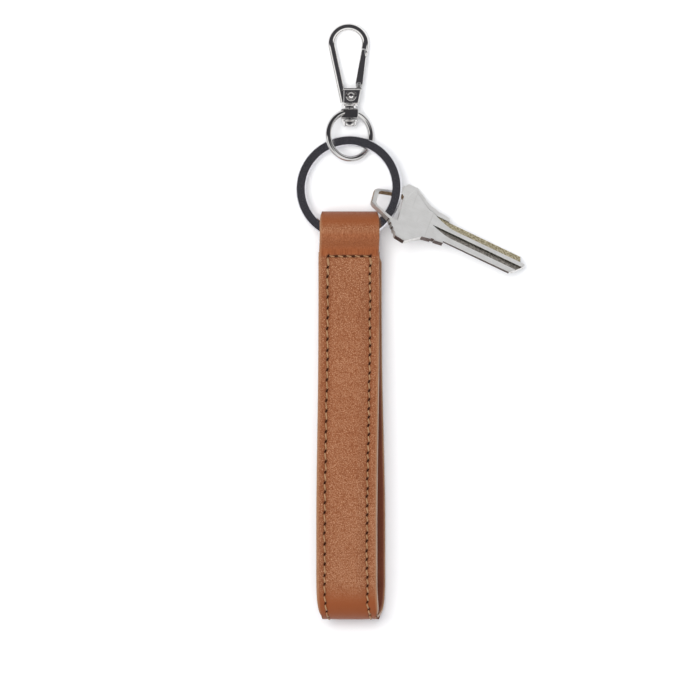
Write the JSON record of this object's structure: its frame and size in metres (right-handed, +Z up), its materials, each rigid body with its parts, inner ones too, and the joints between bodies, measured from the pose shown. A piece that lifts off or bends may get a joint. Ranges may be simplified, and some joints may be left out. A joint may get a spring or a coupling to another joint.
{
  "type": "loop keychain",
  "caption": "Padded leather wrist loop with stitched edges, holding a flat split ring, a swivel snap hook with a sprung gate, and a house key.",
  "frame": {"origin": "on the flat underside of the loop's back strap, near the middle of the loop's length", "axes": "+Y along the keychain from the loop's bend towards the hook's tip, +Z up from the table, +X to the right seen from above"},
  "size_m": [0.0752, 0.1966, 0.0175],
  "materials": {
    "leather": "tan cowhide, semi-matt with a fine pebble grain",
    "lining": "dark red-brown lining leather, matt",
    "core": "bonded fibre filler, hidden",
    "thread": "waxed golden-tan thread",
    "ring": "polished black nickel with bright edges",
    "hook": "polished gunmetal plating on die-cast zinc",
    "pin": "bright steel pin and spring wire",
    "key": "satin nickel-plated brass, bow left bare"
  },
  "bodies": {
    "strap": {"outer_leather": "leather", "lining_leather": "lining", "strap_core": "core", "stitching_left": "thread", "stitching_right": "thread", "stitching_cross": "thread"},
    "ring": {"key_ring": "ring"},
    "eye": {"swivel_eye": "hook"},
    "hook": {"hook_body": "hook", "swivel_post": "hook", "gate_pin": "pin", "gate_spring": "pin"},
    "hook_gate": {"gate": "hook"},
    "house_key": {"key": "key"}
  },
  "joints": [
    {"name": "ring_swing", "type": "hinge", "parent": "strap", "child": "ring", "pos_m": [0, 0.07275, 0.0085], "axis": [1, 0, 0], "range_deg": [-110, 80]},
    {"name": "eye_swing", "type": "hinge", "parent": "ring", "child": "eye", "pos_m": [0, 0.10198, 0.00375], "axis": [1, 0, 0], "range_deg": [-4, 70]},
    {"name": "hook_swivel", "type": "hinge", "parent": "eye", "child": "hook", "pos_m": [0.0002, 0.10383, 0.00457], "axis": [0, 0.9955, -0.095], "continuous": true},
    {"name": "gate_pivot", "type": "hinge", "parent": "hook", "child": "hook_gate", "pos_m": [0.0033, 0.12075, 0.00296], "axis": [0, 0.095, 0.9955], "range_deg": [0, 30], "stiffness_Nm_per_rad": 0.001, "springref_deg": -28.65},
    {"name": "key_roll", "type": "hinge", "parent": "ring", "child": "house_key", "pos_m": [0.01453, 0.0804, 0.00875], "axis": [0.8984, -0.4285, -0.0958], "range_deg": [-90, 0]}
  ]
}
